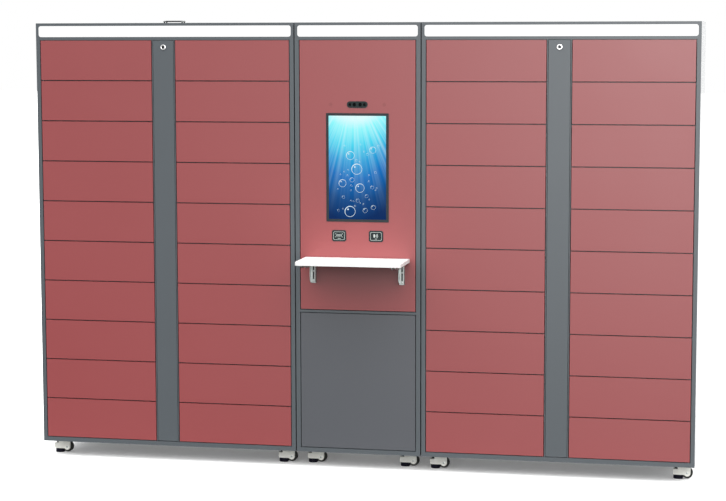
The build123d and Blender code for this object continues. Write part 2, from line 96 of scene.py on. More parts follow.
def make_camera():
    """Camera at the photograph's viewing angle."""
    forward = Vector(
        (
            math.sin(camera_yaw) * math.cos(camera_pitch),
            math.cos(camera_yaw) * math.cos(camera_pitch),
            math.sin(camera_pitch),
        )
    )
    level = Vector((math.cos(camera_yaw), -math.sin(camera_yaw), 0))
    above = level.cross(forward)
    right = level * math.cos(camera_roll) + above * math.sin(camera_roll)
    up = above * math.cos(camera_roll) - level * math.sin(camera_roll)
    data = bpy.data.cameras.new("camera")
    data.lens = camera_lens
    data.sensor_width = sensor_width
    data.clip_end = clip_end
    camera = bpy.data.objects.new("camera", data)
    turn = Matrix((right, up, -forward)).transposed().to_4x4()
    camera.matrix_world = Matrix.Translation(camera_place) @ turn
    bpy.context.scene.collection.objects.link(camera)
    bpy.context.scene.camera = camera


# Materials


class Shader:
    """A material's node tree, with short calls for the nodes that it needs."""

    def __init__(self, name):
        self.material = bpy.data.materials.new(name)
        self.material.use_nodes = True
        self.tree = self.material.node_tree
        self.surface = self.tree.nodes["Principled BSDF"]
        self.place = self.node("ShaderNodeTexCoord").outputs["Object"]

    def node(self, kind, **settings):
        made = self.tree.nodes.new(kind)
        for name, value in settings.items():
            setattr(made, name, value)
        return made

    def link(self, source, target):
        self.tree.links.new(source, target)

    def set(self, **values):
        for name, value in values.items():
            self.surface.inputs[name.replace("_", " ")].default_value = value

    def noise(self, scale, detail, place=None):
        made = self.node("ShaderNodeTexNoise")
        made.inputs["Scale"].default_value = scale
        made.inputs["Detail"].default_value = detail
        self.link(place or self.place, made.inputs["Vector"])
        return made.outputs["Fac"]

    def stretched(self, factors):
        """Object coordinates, scaled by three factors."""
        made = self.node("ShaderNodeMapping")
        made.inputs["Scale"].default_value = factors
        self.link(self.place, made.inputs["Vector"])
        return made.outputs["Vector"]

    def ramp(self, value, stops):
        """A value turned into a colour by (position, colour) stops."""
        made = self.node("ShaderNodeValToRGB")
        points = made.color_ramp.elements
        while len(points) < len(stops):
            points.new(0.5)
        for point, (position, colour) in zip(points, stops):
            point.position = position
            point.color = colour
        self.link(value, made.inputs["Fac"])
        return made.outputs["Color"]

    def band(self, value, low, high):
        """A value from 0 to 1, brought between two others."""
        made = self.node("ShaderNodeMapRange")
        made.inputs["To Min"].default_value = low
        made.inputs["To Max"].default_value = high
        self.link(value, made.inputs["Value"])
        return made.outputs["Result"]

    def math(self, operation, *values):
        made = self.node("ShaderNodeMath", operation=operation)
        for socket, value in zip(made.inputs, values):
            if isinstance(value, (int, float)):
                socket.default_value = value
            else:
                self.link(value, socket)
        return made.outputs["Value"]

    def speckle(self, colour, value, spread):
        """The colour, made darker and lighter by a value."""
        dark = tuple(part * (1 - spread) for part in colour[:3]) + (1.0,)
        light = tuple(min(1.0, part * (1 + spread)) for part in colour[:3]) + (1.0,)
        found = self.ramp(value, list(zip(noise_span, (dark, light))))
        self.link(found, self.surface.inputs["Base Color"])

    def bump(self, value, depth, strength):
        made = self.node("ShaderNodeBump")
        made.inputs["Strength"].default_value = strength
        made.inputs["Distance"].default_value = depth
        self.link(value, made.inputs["Height"])
        self.link(made.outputs["Normal"], self.surface.inputs["Normal"])

    def rough(self, value, low, high):
        self.link(self.band(value, low, high), self.surface.inputs["Roughness"])


def powder_coat(name, colour, spread=0.05, rough=(0.40, 0.48), gloss=0.6, coat=0.0):
    """Baked powder paint on sheet steel, with fine orange peel and a slight speckle.

    The coat is a clear one on the faces that look sideways.
    """
    shader = Shader(name)
    shader.set(Specular_IOR_Level=gloss)
    if coat:
        parts = shader.node("ShaderNodeSeparateXYZ")
        shader.link(shader.node("ShaderNodeTexCoord").outputs["Normal"], parts.inputs["Vector"])
        aside = shader.math("GREATER_THAN", shader.math("ABSOLUTE", parts.outputs["X"]), 0.9)
        shader.link(shader.math("MULTIPLY", aside, coat), shader.surface.inputs["Coat Weight"])
        shader.set(Coat_Roughness=0.04)
    grain = shader.noise(620, 3)
    cloud = shader.noise(2.3, 4)
    both = shader.math("ADD", shader.math("MULTIPLY", grain, 0.8), shader.math("MULTIPLY", cloud, 0.2))
    shader.speckle(linear(colour), both, spread)
    shader.bump(shader.noise(480, 2), 0.06 * mm, 0.5)
    shader.rough(cloud, *rough)
    return shader.material


def plastic(name, colour, rough, grain=0.03 * mm, gloss=0.5):
    """Moulded plastic with a fine spark-eroded texture."""
    shader = Shader(name)
    shader.set(Specular_IOR_Level=gloss)
    cloud = shader.noise(40, 3)
    shader.speckle(linear(colour), cloud, 0.05)
    shader.bump(shader.noise(1500, 2), grain, 0.6)
    shader.rough(cloud, rough - 0.05, rough + 0.07)
    return shader.material


def metal(name, colour, rough, spread=0.08, streak=(1, 1, 12)):
    """Bare or plated metal with drawn or rolled marks."""
    shader = Shader(name)
    marks = shader.noise(260, 4, shader.stretched(streak))
    shader.speckle(linear(colour), marks, spread)
    shader.set(Metallic=1.0)
    shader.rough(marks, *rough)
    shader.bump(marks, 0.02 * mm, 0.4)
    return shader.material


def glowing(name, colour, strength, dimmest=0.96):
    """Surface that shines by itself, a little unevenly."""
    shader = Shader(name)
    shader.set(Base_Color=(0.02, 0.02, 0.02, 1), Roughness=0.5, Emission_Strength=strength)
    patches = shader.noise(6, 2)
    dim = tuple(part * dimmest for part in linear(colour)[:3]) + (1.0,)
    found = shader.ramp(patches, list(zip(noise_span, (dim, linear(colour)))))
    shader.link(found, shader.surface.inputs["Emission Color"])
    return shader.material


# Water on the screen, in shares of the picture's width and height
sun_across, sun_up = 0.44, 1.3  # where the beams meet
water_arch = 0.45  # how much deeper the water looks at the sides
water_drift = 0.06
water_colours = (  # height, and the colour there
    (0.00, (10, 44, 96)),
    (0.20, (14, 72, 134)),
    (0.42, (22, 112, 190)),
    (0.58, (38, 156, 216)),
    (0.74, (76, 214, 240)),
    (0.90, (140, 248, 252)),
    (1.00, (226, 254, 254)),
)
beam_scale, beam_detail = 11, 4
beam_low, beam_high = -0.75, 1.15  # a beam's share of light: below 0 there is none
beam_start, beam_growth = 0.1, 1.1  # how it fades towards the bottom
beam_white = (214, 250, 255)
backing_black = (6, 8, 12)


def screen_picture(low, high):
    """Light falling through deep water: white and cyan above, dark blue below."""
    shader = Shader("screen_picture")
    mapping = shader.node("ShaderNodeMapping", vector_type="TEXTURE")
    mapping.inputs["Location"].default_value = (low.x, 0, low.z)
    mapping.inputs["Scale"].default_value = (high.x - low.x, 1, high.z - low.z)
    shader.link(shader.place, mapping.inputs["Vector"])
    parts = shader.node("ShaderNodeSeparateXYZ")
    shader.link(mapping.outputs["Vector"], parts.inputs["Vector"])
    across, up = parts.outputs["X"], parts.outputs["Z"]
    aside = shader.math("SUBTRACT", across, sun_across)
    arch = shader.math("MULTIPLY", shader.math("MULTIPLY", aside, aside), water_arch)
    drift = shader.math("MULTIPLY", shader.noise(9, 3), water_drift)
    depth = shader.math("SUBTRACT", shader.math("ADD", up, drift), arch)
    water = shader.ramp(depth, [(height, linear(colour)) for height, colour in water_colours])
    drop = shader.math("SUBTRACT", sun_up, up)
    angle = shader.math("ARCTAN2", aside, drop)
    comb = shader.node("ShaderNodeTexNoise", noise_dimensions="1D")
    comb.inputs["Scale"].default_value = beam_scale
    comb.inputs["Detail"].default_value = beam_detail
    shader.link(angle, comb.inputs["W"])
    beams = shader.math("MULTIPLY", shader.band(comb.outputs["Fac"], beam_low, beam_high), up)
    fade = shader.math("MULTIPLY", shader.math("ADD", up, beam_start), beam_growth)
    beams = shader.math("MAXIMUM", shader.math("MULTIPLY", beams, fade), 0.0)
    mixed = shader.node("ShaderNodeMix", data_type="RGBA", clamp_factor=True)
    mixed.inputs[7].default_value = linear(beam_white)
    shader.link(beams, mixed.inputs[0])
    shader.link(water, mixed.inputs[6])
    shader.link(mixed.outputs[2], shader.surface.inputs["Emission Color"])
    shader.set(Base_Color=linear(backing_black), Roughness=0.12, Emission_Strength=1.0)
    shader.set(Specular_IOR_Level=0.12)
    return shader.material


# Mesh helpers


def finished(name, bm, material, body, smooth=True):
    """Turns a bmesh into a piece that rides on a body."""
    bmesh.ops.recalc_face_normals(bm, faces=bm.faces)
    data = bpy.data.meshes.new(name)
    bm.to_mesh(data)
    bm.free()
    if smooth:
        data.shade_smooth()
        data.set_sharp_from_angle(angle=joint_angle)
    data.materials.append(material)
    piece = bpy.data.objects.new(name, data)
    bpy.context.scene.collection.objects.link(piece)
    if body:
        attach(piece, body)
    return piece


def rounded(piece, width, segments=3):
    """Rounds the piece's sharp edges."""
    modifier = piece.modifiers.new("rounded", "BEVEL")
    modifier.width = width
    modifier.segments = segments
    modifier.limit_method = "ANGLE"
    modifier.angle_limit = joint_angle
    modifier.harden_normals = True
    return piece


def arc(middle, radius, start, end, steps):
    """Points on an arc between two angles in degrees."""
    turns = [math.radians(start + (end - start) * i / steps) for i in range(steps + 1)]
    return [(middle[0] + radius * math.cos(t), middle[1] + radius * math.sin(t)) for t in turns]


def rounded_rectangle(width, height, radius, steps=6):
    """Outline about the origin, with round corners."""
    x, y = width / 2 - radius, height / 2 - radius
    points = []
    for (cx, cy), start in (((x, y), 0), ((-x, y), 90), ((-x, -y), 180), ((x, -y), 270)):
        points += arc((cx, cy), radius, start, start + 90, steps)
    return points


def in_front(u, v, depth):
    """A point of a face seen from the front: across, up, and how far back."""
    return Vector((u, depth, v))


def from_above(u, v, height):
    """A point of a face seen from above: across, back, and how high."""
    return Vector((u, v, height))


def add_prism(bm, outline, near, far, place=Vector(), lay=in_front):
    """Solid between two copies of an outline."""
    rings = [[bm.verts.new(place + lay(u, v, d)) for u, v in outline] for d in (near, far)]
    bm.faces.new(rings[0])
    bm.faces.new(rings[1])
    count = len(outline)
    for i in range(count):
        j = (i + 1) % count
        bm.faces.new((rings[0][i], rings[0][j], rings[1][j], rings[1][i]))


def add_lathe(bm, profile, place, steps, lay=in_front):
    """Turned solid: (radius, depth) points, closed where they lie on the axis."""
    rings = []
    for radius, depth in profile:
        if radius == 0:
            rings.append([bm.verts.new(place + lay(0, 0, depth))])
        else:
            turns = [2 * math.pi * i / steps for i in range(steps)]
            rings.append(
                [
                    bm.verts.new(place + lay(radius * math.cos(t), radius * math.sin(t), depth))
                    for t in turns
                ]
            )
    for one, other in zip(rings, rings[1:]):
        for i in range(steps):
            j = (i + 1) % steps
            corners = [one[i % len(one)], one[j % len(one)], other[j % len(other)], other[i % len(other)]]
            unique = list(dict.fromkeys(corners))
            if len(unique) > 2:
                bm.faces.new(unique)


def add_band(bm, outer, inner, near, far, place):
    """Flat band between two outlines of as many points, as a solid."""
    loops = []
    for points, depth in ((outer, near), (inner, near), (inner, far), (outer, far)):
        loops.append([bm.verts.new(place + in_front(u, v, depth)) for u, v in points])
    count = len(outer)
    for a, b in zip(loops, loops[1:] + loops[:1]):
        for i in range(count):
            j = (i + 1) % count
            bm.faces.new((a[i], a[j], b[j], b[i]))


# Places, worked out from the frame

left_low, left_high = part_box("left_carcass")
right_low, right_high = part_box("right_carcass")
front_y = left_low.y
back_y = left_high.y
underside = left_low.z
roof_z = left_high.z
screen_low, screen_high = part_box("touch_screen")
bezel_y = screen_low.y
screen_x = (screen_low.x + screen_high.x) / 2
left_x = (left_low.x + left_high.x) / 2
right_x = (right_low.x + right_high.x) / 2

# Terminal details
screen_border = 12 * mm
glass_setback = 0.6 * mm  # screen's glass behind the bezel's face
picture_lift = 0.5 * mm
picture_share = 0.8  # of the lift that the picture is thick
picture_corner = 1 * mm
sunk = 0.2 * mm  # how far a piece laid on a face reaches into it
camera_width, camera_height = 97.5 * mm, 30 * mm
glass_inset, glass_corner, glass_lift = 5 * mm, 12.4 * mm, 0.4 * mm
lenses = (("a", -34, 6.5), ("b", -13.5, 8), ("c", 13.5, 8), ("d", 34, 6.5))  # across and radius, mm
reader_height = 52 * mm
reader_offset = 87 * mm
label_size, label_corner = (61 * mm, 46 * mm), 5 * mm
border_size, border_corner = (53 * mm, 38 * mm), 6 * mm
border_share = (0.055, 0.077)  # of the border's half width and half height that is line
label_lift = 0.25 * mm
mark_lift = 0.1 * mm
sign_middle, caption_middle = 2 * mm, -12 * mm  # above the label's middle
caption_height = 2 * mm
hole_reach, hole_pitch, hole_radius = 125 * mm, 3.6 * mm, 0.8 * mm
hole_lift, hole_sunk = 0.06 * mm, 0.1 * mm

# Rings of air on the screen
bubble_count, bubble_sides, bubble_seed = 40, 36, 7
bubble_radius, bubble_spread = 3, 26  # smallest, and how much more the largest may be, mm
bubble_reach = 0.40  # of the picture's width, to each side of its middle
bubble_lowest, bubble_rise = 0.06, 0.68  # of its height
bubble_gap = 1.5 * mm
bubble_lift, bubble_depth = 0.05 * mm, 0.04 * mm
rim_least, rim_share = 0.6 * mm, 0.1  # a ring's width, and that as a share of its radius
thin_side, thick_side, thick_turn = 0.7, 0.9, 2.2  # shares of the width, and where it is thickest
glint_place, glint_share = (-0.36, 0.38), 0.15  # in radii of the ring


def reader_box():
    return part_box("reader_modules")


def add_bubble(bm, radius, spot):
    """Ring that is thicker at its upper left, with a round glint inside it."""
    rim = max(rim_least, radius * rim_share)
    outer, inner = [], []
    for i in range(bubble_sides):
        turn = 2 * math.pi * i / bubble_sides
        swell = rim * (thin_side + thick_side * max(0.0, math.cos(turn - thick_turn)))
        outer.append((radius * math.cos(turn), radius * math.sin(turn)))
        inner.append(((radius - swell) * math.cos(turn), (radius - swell) * math.sin(turn)))
    add_band(bm, outer, inner, 0, bubble_depth, spot)
    glint_middle = (glint_place[0] * radius, glint_place[1] * radius)
    glint = arc(glint_middle, radius * glint_share, 0, 330, 11)
    add_prism(bm, glint, 0, bubble_depth, spot)


def touch_screen(materials):
    """The picture behind the bezel, with rings of air rising in it."""
    low = screen_low + Vector((screen_border, 0, screen_border))
    high = screen_high - Vector((screen_border, 0, screen_border))
    y = bezel_y + glass_setback - picture_lift
    width, height = high.x - low.x, high.z - low.z
    middle = Vector(((low.x + high.x) / 2, y, (low.z + high.z) / 2))
    bm = bmesh.new()
    sheet = rounded_rectangle(width, height, picture_corner, 3)
    add_prism(bm, sheet, 0, picture_lift * picture_share, middle)
    picture = finished("screen_picture", bm, screen_picture(low, high), "terminal", smooth=False)
    rng = random.Random(bubble_seed)
    bm = bmesh.new()
    placed = []
    while len(placed) < bubble_count:
        share = rng.random()
        radius = (bubble_radius + bubble_spread * rng.random() ** 3) * mm
        x = (0.5 + bubble_reach * (rng.random() + rng.random() - 1)) * width + low.x
        z = (bubble_lowest + bubble_rise * share) * height + low.z
        clear = all(math.hypot(x - a, z - b) > radius + c + bubble_gap for a, b, c in placed)
        inside = low.x + radius < x < high.x - radius and low.z + radius < z < high.z - radius
        if not (clear and inside):
            continue
        placed.append((x, z, radius))
        add_bubble(bm, radius, Vector((x, y - bubble_lift, z)))
    bubbles = finished("screen_bubbles", bm, materials["bubble"], "terminal", smooth=False)


def camera_bar(materials):
    """Glass over the camera bar with four round lenses in it."""
    low, high = reader_box()
    middle = Vector((screen_x, low.y, high.z - camera_height / 2))
    bm = bmesh.new()
    width, height = camera_width - glass_inset, camera_height - glass_inset
    add_prism(bm, rounded_rectangle(width, height, glass_corner, 10), -glass_lift, sunk, middle)
    glass = rounded(finished("camera_glass", bm, materials["glass"], "terminal"), 0.2 * mm, 2)
    for name, x, radius in lenses:
        bm = bmesh.new()
        dome = [(0, -0.9), (0.5 * radius, -0.8), (0.7 * radius, -0.5), (0.78 * radius, -0.55)]
        rim = [(0.86 * radius, -1.0), (0.96 * radius, -1.0), (radius, -0.6), (radius, -0.3), (0, -0.3)]
        place = middle + Vector((x * mm, 0, 0))
        add_lathe(bm, [(r * mm, d * mm) for r, d in dome + rim], place, 28)
        lens = finished(f"camera_lens_{name}", bm, materials["lens"], "terminal")


def reader_labels(materials):
    """Black labels on the readers with a pale border and a plain picture sign each."""
    low = reader_box()[0]
    z = low.z + reader_height / 2
    for side, draw in ((-1, scan_sign), (1, card_sign)):
        middle = Vector((screen_x + side * reader_offset, low.y, z))
        name = "left" if side < 0 else "right"
        bm = bmesh.new()
        add_prism(bm, rounded_rectangle(*label_size, label_corner), -label_lift, sunk, middle)
        label = finished(f"{name}_reader_label", bm, materials["glass"], "terminal")
        face = middle - Vector((0, label_lift + mark_lift, 0))
        bm = bmesh.new()
        border = rounded_rectangle(*border_size, border_corner)
        inner = [(u * (1 - border_share[0]), v * (1 - border_share[1])) for u, v in border]
        add_band(bm, border, inner, 0, mark_lift, face)
        draw(bm, face)
        marks = finished(f"{name}_reader_marks", bm, materials["marks"], "terminal", smooth=False)


def bar(bm, face, x, z, width, height):
    """Flat mark with its middle on x, z."""
    half_x, half_z = width / 2, height / 2
    outline = [(x - half_x, z - half_z), (x + half_x, z - half_z), (x + half_x, z + half_z)]
    add_prism(bm, outline + [(x - half_x, z + half_z)], 0, mark_lift, face)


def scan_sign(bm, face):
    """Four corners of a frame round a row of bars."""
    for sx in (-1, 1):
        for sz in (-1, 1):
            bar(bm, face, sx * 15 * mm, sz * 8.5 * mm + sign_middle, 5 * mm, 1.3 * mm)
            bar(bm, face, sx * 16.9 * mm, sz * 6.5 * mm + sign_middle, 1.3 * mm, 5 * mm)
    for x, width in ((-11, 2), (-7.2, 1.1), (-4, 2.4), (0, 1.2), (3, 2.2), (7, 1.1), (10.6, 2.2)):
        bar(bm, face, x * mm, sign_middle, width * mm, 11 * mm)
    bar(bm, face, 0, caption_middle, 14 * mm, caption_height)


def card_sign(bm, face):
    """A card held up to three waves."""
    for radius in (4.5, 8.5, 12.5):
        outer = arc((-4 * mm, sign_middle), (radius + 0.9) * mm, -48, 48, 10)
        inner = arc((-4 * mm, sign_middle), (radius - 0.9) * mm, 48, -48, 10)
        add_prism(bm, outer + inner, 0, mark_lift, face)
    card = rounded_rectangle(7.5 * mm, 15 * mm, 1.5 * mm, 3)
    add_prism(bm, [(u - 8 * mm, v + sign_middle) for u, v in card], 0, mark_lift, face)
    bar(bm, face, 0, caption_middle, 11 * mm, caption_height)


def sound_holes(materials):
    """Small round clusters of holes beside the camera bar, drawn as flat dark discs: painted shade of the
    holes.
    """
    z = reader_box()[1].z - camera_height / 2
    bm = bmesh.new()
    profile = [(0, -hole_lift), (hole_radius, -hole_lift), (hole_radius, hole_sunk), (0, hole_sunk)]
    for side in (-1, 1):
        for ring, count in ((0, 1), (1, 6), (2, 12)):
            for i in range(count):
                turn = 2 * math.pi * i / count
                u = side * hole_reach + ring * hole_pitch * math.cos(turn)
                v = ring * hole_pitch * math.sin(turn)
                add_lathe(bm, profile, Vector((screen_x + u, front_y, z + v)), 12)
    holes = finished("sound_holes", bm, materials["hole"], "terminal", smooth=False)


# Key locks of the channel covers
door_zone_drop = 78.5 * mm  # roof to the upper end of the ten rows of doors
key_drop = 34 * mm  # from there to the key lock
weld = 1e-7  # points as near as this become one


def key_locks(materials):
    """Bright rim on each lock's flange."""
    z = roof_z - door_zone_drop - key_drop
    for name, x in (("left", left_x), ("right", right_x)):
        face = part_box(f"{name}_strip")[0].y
        place = Vector((x, face, z))
        bm = bmesh.new()
        profile = [(7.4, 0.1), (7.4, -0.5), (8.2, -0.9), (10.6, -0.95), (12.4, -0.4), (13.15, 0.6)]
        profile += [(13.15, 2.5), (12.0, 2.5), (7.4, 0.1)]
        add_lathe(bm, [(r * mm, d * mm) for r, d in profile], place, 48)
        bmesh.ops.remove_doubles(bm, verts=bm.verts, dist=weld)
        rim = finished(f"{name}_key_rim", bm, materials["chrome"], f"{name}_cover")


# Roof cap
post_inset = 5.5 * mm
plate_height = 7 * mm


def roof_details(materials):
    """Nuts on the four posts that hold the cap's plate off the roof."""
    low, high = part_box("roof_cap")
    plate_top = low.z + plate_height
    for i, x in enumerate((low.x + post_inset, high.x - post_inset)):
        for j, y in enumerate((low.y + post_inset, high.y - post_inset)):
            bm = bmesh.new()
            profile = [(0, 3.9), (2.4, 3.9), (4.6, 2.9), (5.0, 0.0), (0, 0.0)]
            place = Vector((x, y, plate_top))
            add_lathe(bm, [(r * mm, d * mm) for r, d in profile], place, 6, from_above)
            nut = finished(f"cap_nut_{i}{j}", bm, materials["zinc"], "cabinets", smooth=False)


# Shelf brackets
leg_half, leg_steel = 13.5 * mm, 2 * mm
leg_slot, slot_corner = (6.2 * mm, 33.6 * mm), 2 * mm
# thickness of the dark sheets of painted shade laid on the door in the leg slots
slot_shade_lift = 0.6 * mm
slot_drops = (28 * mm, 70 * mm)  # below the board: middles of the slots in a leg
screw_heights = (9 * mm, 56 * mm)  # above the leg's lower end
pivot_reach, pivot_drop = 13 * mm, 9.5 * mm


def bracket_details(materials):
    """Screws in the bracket legs, dark sheets of painted shade in their slots, and the riveted ends of the
    pivot pins.
    """
    low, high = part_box("shelf_brackets")
    pivot_y, pivot_z = front_y - pivot_reach, high.z - pivot_drop
    for name, x in (("left", low.x + leg_half), ("right", high.x - leg_half)):
        for number, height in enumerate(screw_heights):
            bm = bmesh.new()
            profile = [(0, -1.6), (2.4, -1.6), (3.9, -1.0), (4.2, 0.0), (0, 0.0)]
            place = Vector((x, front_y - leg_steel, low.z + height))
            add_lathe(bm, [(r * mm, d * mm) for r, d in profile], place, 20)
            screw = finished(f"{name}_leg_screw_{number}", bm, materials["zinc"], "terminal")
        # dark sheets on the door in the slots: painted shade where the door would show through
        bm = bmesh.new()
        for drop in slot_drops:
            place = Vector((x, front_y, high.z - drop))
            add_prism(bm, rounded_rectangle(*leg_slot, slot_corner), -slot_shade_lift, 0, place)
        slot_shade = finished(f"{name}_painted_slot_shade", bm, materials["plastic"], "terminal", smooth=False)
        for side in (-1, 1):
            bm = bmesh.new()
            turn = Matrix.Rotation(math.radians(90 * side), 4, "Z")
            profile = [(0, 1.5), (2.6, 1.4), (4.2, 0.8), (4.6, 0.0), (0, 0.0)]
            add_lathe(bm, [(r * mm, -d * mm) for r, d in profile], Vector(), 20)
            bmesh.ops.transform(bm, matrix=turn, verts=bm.verts)
            place = Matrix.Translation((x + side * leg_half, pivot_y, pivot_z))
            bmesh.ops.transform(bm, matrix=place, verts=bm.verts)
            rivet = finished(f"{name}_pin_head_{'l' if side < 0 else 'r'}", bm, materials["zinc"], "terminal")


# Casters
caster_shift = 6 * mm  # the right cabinet's casters stand further to the right in it
caster_rows = (  # a cabinet's middle, and from the swivel axes to it and to the front and back
    (left_x, 562 * mm, 107 * mm),
    (0.0, 222.5 * mm, 120 * mm),
    (right_x + caster_shift, 562 * mm, 107 * mm),
)
plate_size, plate_corner, plate_thickness = 72 * mm, 8 * mm, 3 * mm
housing_half = 22 * mm  # half of the housing's width
housing_left, housing_bottom = 42 * mm, 19.5 * mm
corner_right, corner_left, corner_low = 5 * mm, 7 * mm, 4 * mm
housing_round = 1.3 * mm
lobe_radius = 15 * mm
wheel_radius, wheel_offset, wheel_lift = 25 * mm, 21.5 * mm, 2.5 * mm
wheel_slot, wheel_play = 25 * mm, 0.3 * mm
slot_left = wheel_offset - wheel_radius - wheel_lift
foot_offset, foot_radius, foot_round = 18 * mm, 24 * mm, 1.6 * mm
foot_clearance = 0.05 * mm  # sole to floor
thumb_radius, thumb_bottom, thumb_top = 18 * mm, 46 * mm, 58 * mm
thumb_window, thumb_play = 20 * mm, 0.4 * mm
thumb_teeth, thumb_notch = 18, 1.2 * mm
stack_gap = 0.1 * mm  # what the foot and the thumbwheel leave free at their ends
axle_z = wheel_radius + wheel_lift
past_end, past_right, past_side = 5 * mm, 70 * mm, 30 * mm  # where the cutters end, off the housing


def caster_places():
    """Swivel axes of the twelve casters, on the floor."""
    return [
        Vector((x, y, 0))
        for middle, reach, setback in caster_rows
        for x in (middle - reach, middle + reach)
        for y in (front_y + setback, back_y - setback)
    ]


def caster_outline():
    """Side of the moulded housing: foot tower on the left, lobe round the axle on the right."""
    top = underside - plate_thickness
    drop = axle_z - housing_bottom
    meeting = 180 + math.degrees(math.asin(drop / lobe_radius))
    right = wheel_offset + lobe_radius
    points = arc((right - corner_right, top - corner_right), corner_right, 0, 90, 5)
    points += arc((-housing_left + corner_left, top - corner_left), corner_left, 90, 180, 6)
    low_corner = (-housing_left + corner_low, housing_bottom + corner_low)
    points += arc(low_corner, corner_low, 180, 270, 4)
    points += arc((wheel_offset, axle_z), lobe_radius, meeting, 360, 16)
    return points


def cut_away(target, cutter):
    modifier = target.modifiers.new("cut", "BOOLEAN")
    modifier.operation = "DIFFERENCE"
    modifier.solver = "EXACT"
    modifier.object = cutter


def baked(piece):
    """The piece's mesh with its modifiers applied."""
    graph = bpy.context.evaluated_depsgraph_get()
    return bpy.data.meshes.new_from_object(piece.evaluated_get(graph), depsgraph=graph)


def block(u, v):
    """Rectangle between two pairs of limits."""
    return [(u[0], v[0]), (u[1], v[0]), (u[1], v[1]), (u[0], v[1])]


def caster_mesh(materials):
    """One housing mesh, with its wheel slot, and the thumbwheel's window and pocket cut out."""
    bm = bmesh.new()
    add_prism(bm, caster_outline(), -housing_half, housing_half)
    body = finished("caster_blank", bm, materials["cream"], None, smooth=False)
    room = (thumb_bottom - thumb_play, thumb_top + thumb_play)
    window = (-housing_left - past_end, -housing_left + thumb_window)
    slot_top = axle_z + wheel_radius + wheel_lift
    cuts = (
        (block((slot_left, past_right), (-wheel_slot / 2, wheel_slot / 2)), (-past_end, slot_top)),
        (block(window, (-past_side, past_side)), room),
        (arc((-foot_offset, 0), thumb_radius + thumb_play, 0, 345, 23), room),
    )
    cutters = []
    for number, (outline, (low, high)) in enumerate(cuts):
        bm = bmesh.new()
        add_prism(bm, outline, low, high, Vector(), from_above)
        cutter = finished(f"caster_cut_{number}", bm, materials["cream"], None, smooth=False)
        cut_away(body, cutter)
        cutters.append(cutter)
    bpy.context.view_layer.update()
    rounded(body, housing_round)
    bpy.context.view_layer.update()
    made = baked(body)
    for piece in [body, *cutters]:
        bpy.data.objects.remove(piece)
    return made


def copies(name, data, places):
    """The same mesh at several places of the cabinets, as numbered pieces."""
    pieces = []
    for number, place in enumerate(places):
        piece = bpy.data.objects.new(f"{name}_{number:02d}", data)
        bpy.context.scene.collection.objects.link(piece)
        piece.location = place
        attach(piece, "cabinets")
        pieces.append(piece)
    return pieces


def mesh_of(piece):
    """The piece's mesh alone, to be used for copies."""
    data = piece.data
    bpy.data.objects.remove(piece)
    return data


def turned_mesh(name, profile, material, steps):
    """Mesh of a turned piece, from (radius, depth) points in millimetres."""
    bm = bmesh.new()
    add_lathe(bm, [(r * mm, d * mm) for r, d in profile], Vector(), steps)
    return mesh_of(finished(name, bm, material, None))


def serrated(radius, depth, teeth):
    """Outline of a thumbwheel with shallow notches."""
    points = []
    for i in range(teeth):
        for share, r in ((0, radius), (0.5, radius), (0.62, radius - depth), (0.88, radius - depth)):
            turn = 2 * math.pi * (i + share) / teeth
            points.append((r * math.cos(turn), r * math.sin(turn)))
    return points


def foot_mesh(materials):
    """Round levelling foot with the notch that lets the wheel pass."""
    turn = math.degrees(math.asin(wheel_slot / 2 / foot_radius))
    outline = arc((-foot_offset, 0), foot_radius, turn, 360 - turn, 44)
    outline += [(slot_left, -wheel_slot / 2), (slot_left, wheel_slot / 2)]
    bm = bmesh.new()
    add_prism(bm, outline, foot_clearance, housing_bottom - stack_gap, Vector(), from_above)
    foot = rounded(finished("caster_foot_blank", bm, materials["foot"], None), foot_round)
    bpy.context.view_layer.update()
    made = baked(foot)
    bpy.data.objects.remove(foot)
    return made


def casters(materials):
    """Housing, plate, wheel, hub, axle head, foot and thumbwheel of each caster."""
    places = caster_places()
    housings = copies("caster_housing", caster_mesh(materials), places)
    bm = bmesh.new()
    outline = rounded_rectangle(plate_size, plate_size, plate_corner)
    add_prism(bm, outline, underside - plate_thickness, underside, Vector(), from_above)
    plate = mesh_of(finished("caster_plate", bm, materials["zinc"], None))
    copies("caster_plate", plate, places)
    half = (wheel_slot / 2 - wheel_play) / mm
    tyre = [(9, -half + 2), (17, -half + 2), (18, -half), (22.5, -half), (25, -half + 2.5)]
    tyre += [(25, half - 2.5), (22.5, half), (18, half), (17, half - 2), (9, half - 2), (9, -half + 2)]
    wheel = turned_mesh("caster_wheel", tyre, materials["tyre"], 48)
    core = [(0, -half + 1), (9.2, -half + 1), (9.2, half - 1), (0, half - 1)]
    hub = turned_mesh("caster_hub", core, materials["tyre"], 32)
    axles = [place + Vector((wheel_offset, 0, axle_z)) for place in places]
    wheels = copies("caster_wheel", wheel, axles)
    copies("caster_hub", hub, axles)
    button = [(0, -23.1), (3.2, -23.1), (4.6, -22.4), (4.8, -21.6), (0, -21.6)]
    head = turned_mesh("axle_head", button, materials["zinc"], 24)
    copies("axle_head", head, axles)
    copies("caster_foot", foot_mesh(materials), places)
    bm = bmesh.new()
    teeth = serrated(thumb_radius, thumb_notch, thumb_teeth)
    add_prism(bm, teeth, thumb_bottom + stack_gap, thumb_top - stack_gap, Vector(), from_above)
    thumb = mesh_of(finished("caster_thumb", bm, materials["plastic"], None, smooth=False))
    feet = [place + Vector((-foot_offset, 0, 0)) for place in places]
    copies("caster_thumb", thumb, feet)
    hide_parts("caster_housings")
    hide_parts("caster_wheels_and_feet")


